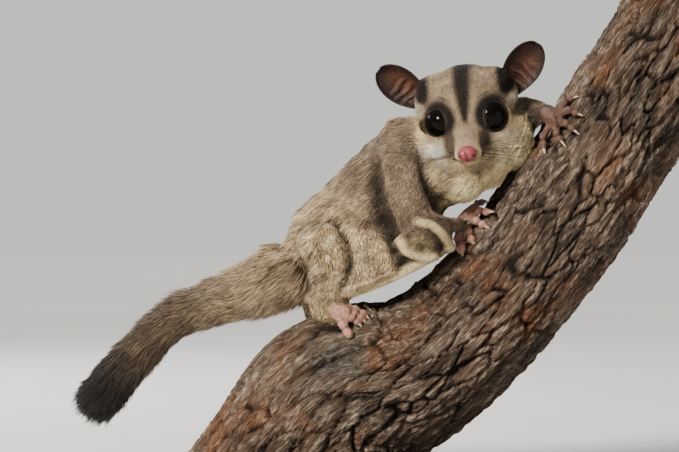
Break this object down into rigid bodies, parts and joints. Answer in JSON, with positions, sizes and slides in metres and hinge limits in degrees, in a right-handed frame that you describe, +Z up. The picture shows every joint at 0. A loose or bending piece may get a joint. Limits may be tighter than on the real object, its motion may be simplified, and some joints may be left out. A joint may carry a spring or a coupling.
{
  "type": "sugar glider",
  "caption": "Life-size sugar glider clinging to a cut length of rough branch, held above a flat display base by short rods.",
  "frame": {"origin": "centre of the underside of the stand's base", "axes": "+X along the base towards the branch's raised end and the animal's front, +Z up, -Y the way the face looks"},
  "size_m": [0.2937, 0.1499, 0.2233],
  "materials": {
    "fur_grey": "short dense grey-brown fur",
    "fur_brown": "warm tan-brown fur",
    "fur_cream": "cream fur",
    "fur_tan": "long tan tail fur",
    "fur_brown_grey": "long brown-grey tail fur",
    "fur_charcoal": "long charcoal tail fur",
    "ear_brown": "thin bare skin",
    "eye_black": "wet glossy black",
    "nose_pink": "moist bare skin",
    "skin_pink": "bare skin with pale claws",
    "bark_brown": "rough fissured bark",
    "stand_black": "satin black",
    "stand_steel": "brushed"
  },
  "bodies": {
    "root": {"head": "fur_grey", "nose": "nose_pink", "eye_right": "eye_black", "eye_left": "eye_black", "ear_right": "ear_brown", "ear_left": "ear_brown", "neck": "fur_cream", "torso_chest": "fur_grey", "torso_belly": "fur_grey", "torso_hips": "fur_brown", "foreleg_right_upper": "fur_grey", "foreleg_right_lower": "fur_grey", "foreleg_left_upper": "fur_grey", "foreleg_left_lower": "fur_grey", "hand_right": "skin_pink", "hand_left": "skin_pink", "hindleg_right_upper": "fur_grey", "hindleg_right_lower": "fur_grey", "hindleg_left_upper": "fur_grey", "hindleg_left_lower": "fur_grey", "foot_right_heel": "fur_cream", "foot_left_heel": "fur_cream", "foot_right": "skin_pink", "foot_left": "skin_pink", "patagium_right": "fur_cream", "patagium_left": "fur_cream", "tail_root": "fur_tan", "tail_middle": "fur_brown_grey", "tail_tip": "fur_charcoal", "perch_branch": "bark_brown", "stand_base": "stand_black", "stand_rod_rear": "stand_steel", "stand_rod_front": "stand_steel"}
  },
  "joints": []
}
